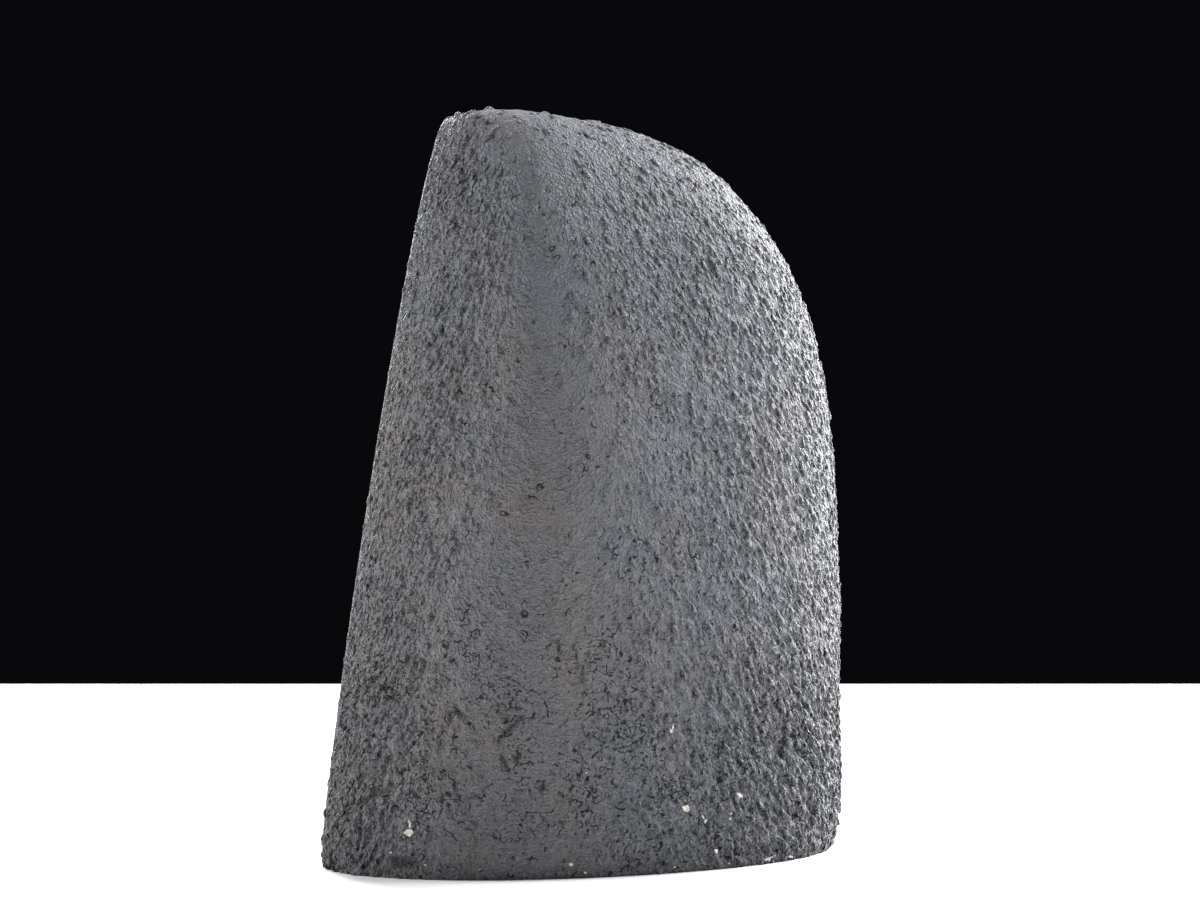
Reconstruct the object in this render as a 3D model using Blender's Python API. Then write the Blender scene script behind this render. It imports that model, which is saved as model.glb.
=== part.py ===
"""A cut-base amethyst geode: a cement coat over an agate wall that is lined with amethyst points.

Metres, +Z up. The object stands on its sawn base at z = 0 with its polished face towards -Y.
The origin lies under the middle of the bounding box.
"""

import math
import random

import bmesh
import bpy
from mathutils import Vector, noise

# The whole nodule, as it was before the saw took off its front and its foot.
HEIGHT = 0.203
DEPTH = 0.0625
FACE_Y = -DEPTH / 2
WIDEST_Y = FACE_Y + 0.014
FRONT_REACH = 0.060
BACK_REACH = DEPTH - 0.014
FOOT_DROP = 0.080

# The outline's two long sides, as x = at_base + lean z + bow z z, and the line that they close towards.
STRAIGHT_SIDE = {"at_base": 0.0782, "lean": -0.135, "bow": -0.235}
ROUND_SIDE = {"at_base": -0.0764, "lean": -0.004, "bow": -0.133}
CREST_LINE = {"at_base": -0.0005, "lean": 0.136, "bow": 0.0}

# How squarely each side turns over into the top: across the level section, and up the side.
STRAIGHT_TURN = (14.0, 12.5)
ROUND_TURN = (1.92, 4.75)
BACK_TURN = (3.75, 3.13)
TURN_SHARE = 1.5

# Near the base the coat tucks in, least on the straight side.
HEM_TUCK = {"straight": 0.0015, "back": 0.0026, "round": 0.0038}
HEM_HEIGHT = 0.018

# The layers, from the outside in.
COAT = 0.003
GAP = 0.0003
WALL = 0.014
BED = 0.0035

# The hollow: its rounded ends, and how much and how often its outline wanders.
CAVITY_MIDDLE = 0.080
CAVITY_FLOOR = 0.025
CAVITY_FLOOR_TURN = 2.6
CAVITY_TURN = (2.5, 3.3)
CAVITY_WAVE = 0.07
WAVES_ROUND = 2.1

# The amethyst points.
SHORTEST_POINT = 0.0025
LONGEST_POINT = 0.0095
TIP_SWAY = 0.0016
POINT_SEED = 11

# Every skin is laid out on headings from one place in the polished face, stretched to the nodule's shape.
CENTRE = Vector((-0.002, FACE_Y, 0.100))
STRETCH = Vector((1.0, 0.9, 1.35))
FARTHEST = 0.30
HALVINGS = 40
COAT_CUTS = 13
CAVITY_CUTS = 11
POINT_LEVEL = 4
SMOOTH_BELOW = math.radians(40)


def clear_scene():
    for old in list(bpy.data.objects):
        bpy.data.objects.remove(old, do_unlink=True)


def line_at(line, z):
    return line["at_base"] + line["lean"] * z + line["bow"] * z * z


def hem_tuck(side, z):
    rise = min(max(1 - z / HEM_HEIGHT, 0.0), 1.0)
    return HEM_TUCK[side] * (1 - math.sqrt(1 - rise * rise))


def section_place(point, moved_in):
    """Where a point lies in its level section, as shares of the half-width and the half-depth."""
    height = min(max(point.z, 0.0), HEIGHT)
    crest = line_at(CREST_LINE, height)
    name, side = ("straight", STRAIGHT_SIDE) if point.x > crest else ("round", ROUND_SIDE)
    half_width = abs(line_at(side, height) - crest) - moved_in - hem_tuck(name, point.z)
    half_depth = BACK_REACH if point.y > WIDEST_Y else FRONT_REACH
    half_depth -= moved_in + hem_tuck("back", point.z)
    return (point.x - crest) / half_width, (point.y - WIDEST_Y) / half_depth


def nodule_turns(across, along):
    """The nodule's two turns at a heading, blended from the side's and the back's."""
    side = STRAIGHT_TURN if across > 0 else ROUND_TURN
    share = (across * across / (across * across + along * along or 1.0)) ** TURN_SHARE
    return [share * a + (1 - share) * b for a, b in zip(side, BACK_TURN)]


def nodule(point, moved_in):
    """Under 1 inside the nodule with its skin moved in."""
    across, along = section_place(point, moved_in)
    round_turn, rise_turn = nodule_turns(across, along)
    rise = point.z / (HEIGHT - moved_in) if point.z > 0 else -point.z / FOOT_DROP
    return math.hypot(across, along) ** round_turn + rise**rise_turn


def cavity(point, moved_in):
    """Under 1 inside the hollow: the nodule's shape a wall's width in, rounder, with a floor of its own."""
    offset = point - CENTRE
    wave = 1 + CAVITY_WAVE * noise.noise(offset.normalized() * WAVES_ROUND)
    point = CENTRE + offset / wave
    inset = COAT + WALL + moved_in
    across, along = section_place(point, inset)
    round_turn, rise_turn = CAVITY_TURN
    if point.z > CAVITY_MIDDLE:
        rise = (point.z - CAVITY_MIDDLE) / (HEIGHT - inset - CAVITY_MIDDLE)
        return math.hypot(across, along) ** round_turn + rise**rise_turn
    drop = (CAVITY_MIDDLE - point.z) / (CAVITY_MIDDLE - CAVITY_FLOOR - moved_in)
    return math.hypot(across, along) ** round_turn + drop**CAVITY_FLOOR_TURN


def reach_along(heading, shape, moved_in):
    """The distance from CENTRE to a shape's skin along a heading, by halving."""
    near, far = 0.0, FARTHEST
    for _ in range(HALVINGS):
        middle = (near + far) / 2
        if shape(CENTRE + heading * middle, moved_in) < 1:
            near = middle
        else:
            far = middle
    return near


def heading_to(place):
    """The heading for a place on a ball or a cube round the origin."""
    return (place * STRETCH).normalized()


def skin_mesh(name, shape, moved_in, cuts):
    """A shape's whole skin: a gridded cube whose points are pushed out to it."""
    bm = bmesh.new()
    bmesh.ops.create_cube(bm, size=2.0)
    bmesh.ops.subdivide_edges(bm, edges=bm.edges[:], cuts=cuts, use_grid_fill=True)
    for vert in bm.verts:
        heading = heading_to(vert.co)
        vert.co = CENTRE + heading * reach_along(heading, shape, moved_in)
    # The same diagonals everywhere keep the layers apart by their gap.
    bmesh.ops.triangulate(bm, faces=bm.faces[:], quad_method="FIXED")
    bmesh.ops.recalc_face_normals(bm, faces=bm.faces[:])
    return finish_mesh(name, bm)


def saw_flat(mesh, place, outward):
    """Cuts a mesh off at a plane and closes the cut with a flat face."""
    bm = bmesh.new()
    bm.from_mesh(mesh)
    cut = bmesh.ops.bisect_plane(
        bm, geom=bm.verts[:] + bm.edges[:] + bm.faces[:], dist=1e-7,
        plane_co=place, plane_no=outward, clear_outer=True,
    )
    edges = [item for item in cut["geom_cut"] if isinstance(item, bmesh.types.BMEdge)]
    bmesh.ops.holes_fill(bm, edges=edges, sides=0)
    bmesh.ops.recalc_face_normals(bm, faces=bm.faces[:])
    bm.to_mesh(mesh)
    bm.free()


def druse_mesh(name):
    """The hollow between the points: every corner of a gridded ball becomes a pit, a point's tip."""
    rng = random.Random(POINT_SEED)
    ball = bmesh.new()
    bmesh.ops.create_icosphere(ball, subdivisions=POINT_LEVEL, radius=1.0)
    bm = bmesh.new()
    feet = {}
    for face in ball.faces:
        heading = heading_to(face.calc_center_median())
        reach = reach_along(heading, cavity, BED)
        feet[face] = bm.verts.new(CENTRE + heading * reach)
    tips = {}
    for vert in ball.verts:
        heading = heading_to(vert.co)
        share = rng.random() ** 2
        height = SHORTEST_POINT + (LONGEST_POINT - SHORTEST_POINT) * share
        sway = Vector(rng.uniform(-TIP_SWAY, TIP_SWAY) for _ in range(3))
        reach = reach_along(heading, cavity, BED) - height
        tips[vert] = bm.verts.new(CENTRE + heading * reach + sway)
    for edge in ball.edges:
        left, right = (feet[face] for face in edge.link_faces)
        for vert in edge.verts:
            bm.faces.new((tips[vert], left, right))
    ball.free()
    bmesh.ops.recalc_face_normals(bm, faces=bm.faces[:])
    return finish_mesh(name, bm)


def finish_mesh(name, bm):
    mesh = bpy.data.meshes.new(name)
    bm.to_mesh(mesh)
    bm.free()
    return mesh


def new_object(name, mesh):
    obj = bpy.data.objects.new(name, mesh)
    bpy.context.scene.collection.objects.link(obj)
    return obj


def hollow_out(obj, cutter_mesh):
    """Cuts a shape out of an object with a live Boolean."""
    cutter = new_object(cutter_mesh.name, cutter_mesh)
    cutter.hide_render = True
    cutter.display_type = "WIRE"
    hollow = obj.modifiers.new("hollow", "BOOLEAN")
    hollow.operation = "DIFFERENCE"
    hollow.solver = "EXACT"
    hollow.object = cutter


def sawn_solid(name, shape, moved_in, cuts):
    """A solid with the flat polished face and the flat base."""
    mesh = skin_mesh(name, shape, moved_in, cuts)
    saw_flat(mesh, (0, FACE_Y, 0), (0, -1, 0))
    saw_flat(mesh, (0, 0, 0), (0, 0, -1))
    return new_object(name, mesh)


def shade_round(obj):
    obj.data.shade_smooth()
    obj.data.set_sharp_from_angle(angle=SMOOTH_BELOW)


def make_cement_coat():
    coat = sawn_solid("cement_coat", nodule, 0.0, COAT_CUTS)
    hollow_out(coat, skin_mesh("coat_cutter", nodule, COAT, COAT_CUTS))
    shade_round(coat)
    return coat


def make_agate_wall():
    wall = sawn_solid("agate_wall", nodule, COAT + GAP, COAT_CUTS)
    hollow_out(wall, skin_mesh("cavity_cutter", cavity, 0.0, CAVITY_CUTS))
    shade_round(wall)
    return wall


def make_amethyst_lining():
    lining = sawn_solid("amethyst_lining", cavity, GAP, CAVITY_CUTS)
    hollow_out(lining, druse_mesh("druse_cutter"))
    return lining


def paint_cement(obj):
    give_material(obj, "Painted cement", (0.128, 0.128, 0.140, 1.0), 0.85)


def polish_agate(obj):
    give_material(obj, "Polished agate", (0.42, 0.45, 0.50, 1.0), 0.12)


def colour_amethyst(obj):
    give_material(obj, "Amethyst", (0.16, 0.05, 0.30, 1.0), 0.08)


def give_material(obj, name, colour, roughness):
    material = bpy.data.materials.new(name)
    material.use_nodes = True
    shader = material.node_tree.nodes["Principled BSDF"]
    shader.inputs["Base Color"].default_value = colour
    shader.inputs["Roughness"].default_value = roughness
    shader.inputs["Metallic"].default_value = 0.0
    obj.data.materials.append(material)


def main():
    clear_scene()
    paint_cement(make_cement_coat())
    polish_agate(make_agate_wall())
    colour_amethyst(make_amethyst_lining())


main()
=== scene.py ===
import math
from functools import partial

import bpy
import numpy as np
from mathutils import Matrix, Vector, noise
from mathutils.bvhtree import BVHTree


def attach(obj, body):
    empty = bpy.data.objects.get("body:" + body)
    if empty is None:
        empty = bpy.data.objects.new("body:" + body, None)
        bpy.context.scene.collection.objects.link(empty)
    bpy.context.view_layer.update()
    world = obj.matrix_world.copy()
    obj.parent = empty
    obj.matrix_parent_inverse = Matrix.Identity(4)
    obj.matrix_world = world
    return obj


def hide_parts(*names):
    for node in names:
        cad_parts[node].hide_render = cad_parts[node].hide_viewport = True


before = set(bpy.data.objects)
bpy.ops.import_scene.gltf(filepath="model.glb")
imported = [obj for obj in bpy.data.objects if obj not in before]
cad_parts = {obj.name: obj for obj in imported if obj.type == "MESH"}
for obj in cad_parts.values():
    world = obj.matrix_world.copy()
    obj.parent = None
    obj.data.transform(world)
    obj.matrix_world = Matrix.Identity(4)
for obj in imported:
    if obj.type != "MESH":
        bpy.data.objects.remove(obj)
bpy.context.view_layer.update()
print("frame loaded:", ", ".join(sorted(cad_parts)))


def hexColour(code):
    channels = [int(code[i : i + 2], 16) / 255 for i in (0, 2, 4)]
    linear = [c / 12.92 if c <= 0.04045 else ((c + 0.055) / 1.055) ** 2.4 for c in channels]
    return (*linear, 1.0)


def perMm(size):  # a pattern's scale for a feature this many millimetres across
    return 1000.0 / size


def mm(value):
    return value / 1000.0


def addNode(tree, kind, sockets=None, **settings):
    # sockets: name or index to a value, or to the output or the node that feeds it
    node = tree.nodes.new(kind)
    for name, value in settings.items():
        setattr(node, name, value)
    for key, value in (sockets or {}).items():
        if isinstance(value, bpy.types.Node):
            value = next(output for output in value.outputs if output.enabled)
        if isinstance(value, bpy.types.NodeSocket):
            tree.links.new(value, node.inputs[key])
        else:
            node.inputs[key].default_value = value
    return node


def newObject(name, mesh):
    obj = bpy.data.objects.new(name, mesh)
    bpy.context.scene.collection.objects.link(obj)
    return obj


def meshFrom(name, points, faces):
    mesh = bpy.data.meshes.new(name)
    mesh.from_pydata([tuple(p) for p in points], [], faces)
    mesh.validate()
    return mesh


def addPointValue(mesh, name, values):
    layer = mesh.attributes.new(name, "FLOAT", "POINT")
    layer.data.foreach_set("value", np.asarray(values, np.float32))


def newShapeTree(name, inputs):
    # a Geometry Nodes tree with a mesh in, a mesh out, and these named number inputs
    tree = bpy.data.node_groups.new(name, "GeometryNodeTree")
    face = tree.interface
    face.new_socket("Geometry", in_out="INPUT", socket_type="NodeSocketGeometry")
    for label, value in inputs.items():
        kind = "NodeSocketInt" if isinstance(value, int) else "NodeSocketFloat"
        face.new_socket(label, in_out="INPUT", socket_type=kind).default_value = value
    face.new_socket("Geometry", in_out="OUTPUT", socket_type="NodeSocketGeometry")
    return tree, addNode(tree, "NodeGroupInput"), addNode(tree, "NodeGroupOutput")


def runShapeTree(obj, tree, values, name):
    # sets the inputs, evaluates once, and returns the result as a plain mesh
    modifier = obj.modifiers.new(tree.name, "NODES")
    modifier.node_group = tree
    for item in tree.interface.items_tree:
        if item.in_out == "INPUT" and item.name in values:
            modifier[item.identifier] = values[item.name]
    graph = bpy.context.evaluated_depsgraph_get()
    graph.update()
    mesh = bpy.data.meshes.new_from_object(obj.evaluated_get(graph))
    mesh.name = name
    obj.modifiers.remove(modifier)
    return mesh


def smoothStep(low, high, values):
    share = np.clip((values - low) / (high - low), 0, 1)
    return share * share * (3 - 2 * share)


def unit(vectors):
    return vectors / np.maximum(np.linalg.norm(vectors, axis=-1, keepdims=True), tiny)


def noiseOver(points, size, shift=0.0):
    # smooth noise between -1 and 1, with lumps this many millimetres across
    return np.array([noise.noise(place) for place in (points * perMm(size) + shift).tolist()])


view = {
    "place": (0.4569, 0.7799, 0.1115), "azimuth": 150.0,  # metres, degrees
    "lens": 100.0, "sensor": 36.0, "frame": (1200, 900),  # mm, mm, pixels
}
viewTurn = math.radians(view["azimuth"])
viewAhead = np.array([-math.sin(viewTurn), math.cos(viewTurn), 0.0])
viewRight = np.array([math.cos(viewTurn), math.sin(viewTurn), 0.0])
cameraData = bpy.data.cameras.new("camera")
cameraData.lens = view["lens"]
cameraData.sensor_width = view["sensor"]
cameraData.clip_end = 20.0
cameraObject = newObject("camera", cameraData)
cameraObject.location = view["place"]
cameraObject.rotation_euler = (math.pi / 2, 0, math.radians(view["azimuth"]))
bpy.context.scene.camera = cameraObject


def sightLine(pixel):
    # where the line of sight through a pixel starts, and its heading
    width, height = view["frame"]
    reach = view["lens"] / view["sensor"] * width
    heading = Vector(viewAhead * reach + viewRight * (pixel[0] - width / 2))
    heading.z += height / 2 - pixel[1]
    return Vector(view["place"]), heading.normalized()


# the whole nodule, as it was before the saw took off its front and its foot, in metres
nodule = {
    "height": 0.203, "faceY": -0.03125, "widestY": -0.01725,
    "frontReach": 0.060, "backReach": 0.0485, "footDrop": 0.080,
    "straightSide": (0.0782, -0.135, -0.235),  # x at the base, lean, bow
    "roundSide": (-0.0764, -0.004, -0.133),
    "crestLine": (-0.0005, 0.136, 0.0),
    "straightTurn": (14.0, 12.5),  # how squarely: round the section, up the side
    "roundTurn": (1.92, 4.75),
    "backTurn": (3.75, 3.13),
    "turnShare": 1.5,
    "straightTuck": 0.0015, "backTuck": 0.0026, "roundTuck": 0.0038, "hemHeight": 0.018,
    "farthest": 0.16, "halvings": 22,  # how far out the skin is looked for, and how finely
    "gridFrom": (-0.070, -0.03125, 0.0), "gridTo": (0.055, 0.024, 0.190),  # the box that a grid starts as
    # where the crest is eased: metres up, metres from the crest line, metres from the face
    "crown": {
        "level": 2, "passes": 30, "up": (0.110, 0.160), "aside": (0.015, 0.050), "back": (-0.016, 0.006),
    },
}
middle = np.array([-0.002, nodule["faceY"], 0.100])
tiny = 1e-12  # keeps a division from failing at nought


def lineAt(line, z):
    return line[0] + line[1] * z + line[2] * z * z


def sectionPlace(points, movedIn):
    # where each point lies in its level section, as shares of the half-width and half-depth
    n = nodule
    x, y, z = points.T
    height = np.clip(z, 0, n["height"])
    crest = lineAt(n["crestLine"], height)
    straight = x > crest
    rise = np.clip(1 - z / n["hemHeight"], 0, 1)
    tuck = 1 - np.sqrt(1 - rise * rise)
    edge = np.where(straight, lineAt(n["straightSide"], height), lineAt(n["roundSide"], height))
    sideTuck = np.where(straight, n["straightTuck"], n["roundTuck"]) * tuck
    halfWidth = np.abs(edge - crest) - movedIn - sideTuck
    halfDepth = np.where(y > n["widestY"], n["backReach"], n["frontReach"]) - movedIn - n["backTuck"] * tuck
    return (x - crest) / halfWidth, (y - n["widestY"]) / halfDepth


def noduleMeasure(points, movedIn):
    # under 1 inside the nodule with its skin moved in
    n = nodule
    across, along = sectionPlace(points, movedIn)
    spread = across * across + along * along
    share = (across * across / np.maximum(spread, tiny)) ** n["turnShare"]
    turns = []
    for step in (0, 1):
        side = np.where(across > 0, n["straightTurn"][step], n["roundTurn"][step])
        turns.append(share * side + (1 - share) * n["backTurn"][step])
    z = points[:, 2]
    rise = np.where(z > 0, z / (n["height"] - movedIn), -z / n["footDrop"])
    return np.sqrt(spread) ** turns[0] + rise ** turns[1]


def pushOut(points, start, measure, movedIn):
    # moves points along their headings from start to the skin, by halving
    heading = points - start
    heading /= np.linalg.norm(heading, axis=1)[:, None]
    near = np.zeros(len(points))
    far = np.full(len(points), nodule["farthest"])
    for _ in range(nodule["halvings"]):
        half = (near + far) / 2
        inside = measure(start + heading * half[:, None], movedIn) < 1
        near, far = np.where(inside, half, near), np.where(inside, far, half)
    return start + heading * near[:, None]


def gridIds(nx, ny, nz):
    # four patches of a box with no front and no floor, with shared edges numbered once
    across, deep, up = np.arange(nx + 1), np.arange(ny + 1), np.arange(nz + 1)
    key = lambda i, j, k: (i * (ny + 1) + j) * (nz + 1) + k
    patches = [
        key(across[:, None], ny, up[None, :]),
        key(nx, deep[:, None], up[None, :]),
        key(0, deep[:, None], up[None, :]),
        key(across[:, None], deep[None, :], nz),
    ]
    keys, inverse = np.unique(np.concatenate([p.ravel() for p in patches]), return_inverse=True)
    ends = np.cumsum([p.size for p in patches])[:-1]
    ids = [part.reshape(p.shape) for part, p in zip(np.split(inverse.ravel(), ends), patches)]
    place = np.stack([keys // ((nz + 1) * (ny + 1)), keys // (nz + 1) % (ny + 1), keys % (nz + 1)], 1)
    return ids, place


def doubled(grid):
    rows = np.repeat(grid, 2, axis=0)[:-1]
    rows[1::2] = (grid[:-1] + grid[1:]) / 2
    both = np.repeat(rows, 2, axis=1)[:, :-1]
    both[:, 1::2] = (rows[:, :-1] + rows[:, 1:]) / 2
    return both


def onSkin(points, front, base, movedIn):
    # interior points go straight out; the front edge stays in the face and the base edge on the floor
    out = points.copy()
    foot = middle * (1, 1, 0)
    out[front, 1] = middle[1]
    out[base, 2] = 0
    upper = ~base
    out[upper] = pushOut(out[upper], middle, noduleMeasure, movedIn)
    out[base] = pushOut(out[base], foot, noduleMeasure, movedIn)
    return out


def meanOfNeighbours(points, edges):
    count = np.bincount(edges.ravel(), minlength=len(points))
    total = np.stack(
        [
            np.bincount(edges[:, 0], points[edges[:, 1], a], len(points))
            + np.bincount(edges[:, 1], points[edges[:, 0], a], len(points))
            for a in range(3)
        ],
        1,
    )
    return total / np.maximum(count, 1)[:, None]


def gridEdges(ids):
    pairs = [(p[:-1], p[1:]) for p in ids] + [(p[:, :-1], p[:, 1:]) for p in ids]
    ends = np.concatenate([np.stack([a.ravel(), b.ravel()], 1) for a, b in pairs])
    return np.unique(np.sort(ends, 1), axis=0)


def softenCrown(points, edges):
    # the two sides meet in a crest at the top, which is eased here as wet cement eases it
    crown = nodule["crown"]
    away = np.abs(points[:, 0] - lineAt(nodule["crestLine"], points[:, 2]))
    share = smoothStep(*crown["up"], points[:, 2]) * (1 - smoothStep(*crown["aside"], away))
    share *= smoothStep(*crown["back"], points[:, 1])
    eased = points.copy()
    for _ in range(crown["passes"]):
        moved = meanOfNeighbours(eased, edges)
        eased += (moved - eased) * share[:, None]
    return eased


def skinGrid(cells, rounds, movedIn):
    # a coarse grid that is evened out, then doubled and evened out again
    ids, place = gridIds(*cells)
    low, high = np.array(nodule["gridFrom"]), np.array(nodule["gridTo"])
    points = low + (high - low) * place / np.array(cells)
    offset = np.zeros_like(points)
    for level, passes in enumerate(rounds):
        if level:
            finer = [(doubled(points[patch]), doubled(offset[patch])) for patch in ids]
            cells = [2 * c for c in cells]
            ids, place = gridIds(*cells)
            points = np.zeros((len(place), 3))
            offset = np.zeros_like(points)
            for patch, (values, shifts) in zip(ids, finer):
                points[patch], offset[patch] = values, shifts
        front, base = place[:, 1] == 0, place[:, 2] == 0
        feet = front & base
        edges = gridEdges(ids)
        points = onSkin(points, front, base, movedIn)
        for _ in range(passes):
            moved = meanOfNeighbours(points, edges)
            for rim in (front, base):
                along = edges[rim[edges].all(1)]
                moved[rim] = meanOfNeighbours(points, along)[rim]
            moved[feet] = points[feet]
            points = onSkin(moved, front, base, movedIn)
        if level == nodule["crown"]["level"]:
            offset = softenCrown(points, edges) - points
    return points, offset, ids, front, base


def gridQuads(ids):
    # quads facing outwards: each patch has its own turn
    quads = []
    for patch, turned in zip(ids, (True, False, True, False)):
        a, b, c, d = patch[:-1, :-1], patch[1:, :-1], patch[1:, 1:], patch[:-1, 1:]
        order = (a, d, c, b) if turned else (a, b, c, d)
        quads.append(np.stack([part.ravel() for part in order], 1))
    return np.concatenate(quads)


coat = {
    "thickness": 3.25,  # mm
    "gridCells": (14, 5, 11), "outerRounds": (120, 50, 20, 6, 2), "innerRounds": (120, 50, 20),
    # mm: the rounded rim, and how deep and how hard its rows crowd together
    "rimRound": 1.1, "rimCrowding": 3.0, "rimPower": 1.7,
    "rimFade": 4.5, "hemFade": 1.0, "hemLeast": 0.35,  # mm over which the relief dies away, and what stays
    # mm across, mm high, where in the noise
    "lumps": ((19.0, 0.40, 3.1), (6.5, 0.22, 11.3), (2.6, 0.18, 7.9)),
    "strokes": {  # mm, and at how many places along each the noise is averaged
        "width": 1.8, "length": 2.2, "height": 0.52, "steep": 2.8, "lift": 0.4, "shift": 31.7, "taps": 7,
    },
    "strokeLean": (48.0, 0.6),  # degrees that the strokes lean outwards at the sides, and how soon
    # radians round from the middle between which the brushed relief grows
    "turnLeft": (0.20, 0.80), "turnRight": (0.18, 0.95), "middleShare": 0.2,
    "topFade": (0.20, 0.7, 0.70), "footGain": (0.085, 0.020, 0.4, 0.8),
    "straightSide": 1.5,  # how much stronger the relief runs on the straight side
    "sideInset": 0.50,  # mm that the sides lie deeper, to make room for their grains
    "gritPatches": {"size": 14.0, "shift": 5.5, "least": 0.55, "gain": 0.9, "bias": 0.2, "most": 0.5},
    "bareMargin": 1.2,  # mm round a mark that stay free of loose grains
    "markEdge": (1.7, 0.4), "patchEdge": (1.3, 0.6),  # half-widths over which a mark sets in
    # pixel from, pixel to, mm half wide, mm deep, how dark the painted shade laid into it is
    "cuts": (
        ((396, 863), (413, 864), 1.5, 1.2, 0.55),
        ((522.8, 716), (498, 740), 0.50, 0.55, 0.8), ((508, 716), (505.5, 722), 0.45, 0.5, 0.8),
        ((501.7, 757), (509.4, 771.5), 0.50, 0.55, 0.7), ((514, 757), (517, 761), 0.45, 0.4, 0.7),
        ((452, 715), (448, 724.6), 0.45, 0.45, 0.7), ((455, 708), (462, 716), 0.5, 0.4, 0.7),
        ((406, 732), (394.6, 743.7), 0.50, 0.45, 0.6), ((558, 643), (559.5, 653), 0.40, 0.4, 0.8),
        ((583, 668), (581.5, 685), 0.38, 0.35, 0.6), ((544, 784), (541.5, 791), 0.45, 0.5, 0.8),
        ((785.5, 721), (783, 757), 0.60, 0.5, 0.5), ((780, 752), (784, 756), 0.8, 0.7, 0.8),
    ),
    # pixel, mm half wide, mm deep, how dark the painted shade laid into it is
    "pits": (
        ((474.2, 122.6), 0.55, 0.7, 0.9), ((487, 122), 0.60, 0.8, 0.9), ((493.2, 135.4), 0.45, 0.6, 0.9),
        ((500.4, 175.6), 0.70, 0.5, 0.6), ((481.3, 199.9), 0.60, 0.7, 0.9),
        ((547.9, 190.3), 0.45, 0.7, 0.95), ((591.3, 203.3), 0.40, 0.5, 0.8),
        ((604.7, 205.2), 0.45, 0.5, 0.8), ((690.8, 211.9), 0.40, 0.5, 0.9),
        ((552, 257.8), 0.40, 0.4, 0.7), ((577, 308.5), 0.45, 0.5, 0.7), ((533.3, 321.5), 0.40, 0.5, 0.9),
        ((509, 369.4), 0.40, 0.5, 0.9), ((482.3, 377.8), 0.40, 0.4, 0.8), ((435, 337.2), 0.50, 0.5, 0.8),
        ((619.6, 280.8), 0.35, 0.4, 0.9), ((642, 283.7), 0.40, 0.4, 0.9), ((543.5, 214.8), 0.40, 0.4, 0.7),
        ((514.8, 160.8), 0.45, 0.4, 0.6), ((581, 605), 0.40, 0.5, 0.9), ((609, 675), 0.40, 0.5, 0.9),
        ((574.5, 751), 0.45, 0.6, 0.95), ((516, 758), 0.45, 0.5, 0.8), ((570, 780), 0.35, 0.4, 0.9),
        ((561, 796), 0.40, 0.5, 0.8), ((619, 851), 0.40, 0.5, 0.9), ((561.5, 823), 0.35, 0.4, 0.9),
        ((607.5, 730), 0.45, 0.5, 0.8), ((624, 721), 0.40, 0.5, 0.9), ((458, 710), 0.5, 0.5, 0.9),
        ((815, 720), 0.50, 0.7, 0.95), ((787, 669), 0.50, 0.6, 0.9), ((716, 656), 0.40, 0.5, 0.9),
        ((553, 772), 0.50, 0.5, 0.7), ((707, 773), 0.40, 0.5, 0.8), ((662, 735), 0.35, 0.4, 0.8),
    ),
    # pixel, mm half wide, mm high: knobs that break the outline
    "knobs": (
        ((505, 111), 7.5, 0.8), ((458, 113), 1.1, 0.9), ((489, 108), 1.2, 1.0), ((546, 112), 1.1, 0.8),
        ((593, 121), 1.0, 0.7),
    ),
    # pixel, mm half wide, share of the relief that stays
    "patches": (
        ((600, 412), 5.5, 0.35), ((452, 176), 8.0, 1.9), ((535, 730), 16.0, 0.55), ((628, 354), 3.0, 1.8),
    ),
    # the last three greys here are painted light: shade laid into pits, cracks, marks and low grit, a
    # highlight on the grit's peaks, and shade towards the foot
    "warm": "605c5d", "cool": "595c63", "paintedCreviceShade": "141317", "paintedPeakHighlight": "8a898e", "paintedFootShade": "36383f",
    "roughness": 0.60, "ior": 1.5, "shine": (0.5, 0.10),  # specular level on the skin and in a crevice
    # brushed grit: mm across, mm high at the middle and at the sides, mm drawn out
    "grit": ((1.6, 0.02, 0.32, 1.0), (0.8, 0.04, 0.30, 0.3)),
    "film": (0.30, 0.45, 0.15),  # mm: the paint levels off at this height, at the middle and at the sides
    # round grains under the film: mm apart, mm high at the middle and at the sides, where crevices open
    "grains": ((1.4, 1.0, 0.75, 1.02), (0.85, 0.9, 0.60, 0.91)),
    "grainReach": (0.25, 0.10, 0.56),  # share of the grains that are smallest, smallest, largest
    "grainEase": 0.3, "creviceEdge": 0.06,
    "dust": (0.42, 0.25, 0.38),  # mm across, mm high at the middle and at the sides
    # cracks: mm between them, mm between breaks, where they break, how wide their edges are
    "cracks": (3.8, 2.4, 0.61, 0.03), "crackLine": (0.010, 0.022), "creviceDepth": 0.6,
    "roughPatches": (13.0, 0.11),  # mm across a patch with more crevices, how much more they open
    "openLow": (0.110, 0.030, -0.09, 0.09),  # metres up from, to, and how much more they open there
    "tints": 22.0,  # mm across a warmer or cooler patch
    "coolAcross": (-0.010, 0.060, 0.14, -0.07), "coolUp": (0.110, 0.160, 0.0, 0.16),  # metres, share
    "layers": (  # what lays the colour on, from, to, the largest share
        # after the patches, every layer is painted light: shade darkening towards the foot and in a band
        # along it, a highlight on the grit's peaks, and shade where the grit sinks, in its pits and cracks
        # and in the marks
        ("patches", 0.33, 0.67, 1.0, "cool"), ("level", 0.060, 0.0, 0.24, "paintedFootShade"),
        ("level", 0.007, 0.001, 0.4, "paintedFootShade"), ("height", 0.0, 0.7, 0.40, "paintedPeakHighlight"),
        ("height", -0.15, -1.0, 0.35, "paintedCreviceShade"), ("holes", 0.0, 1.0, 0.80, "paintedCreviceShade"),
        ("paintedMarkShade", 0.0, 1.0, 0.85, "paintedCreviceShade"),
    ),
}


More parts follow.
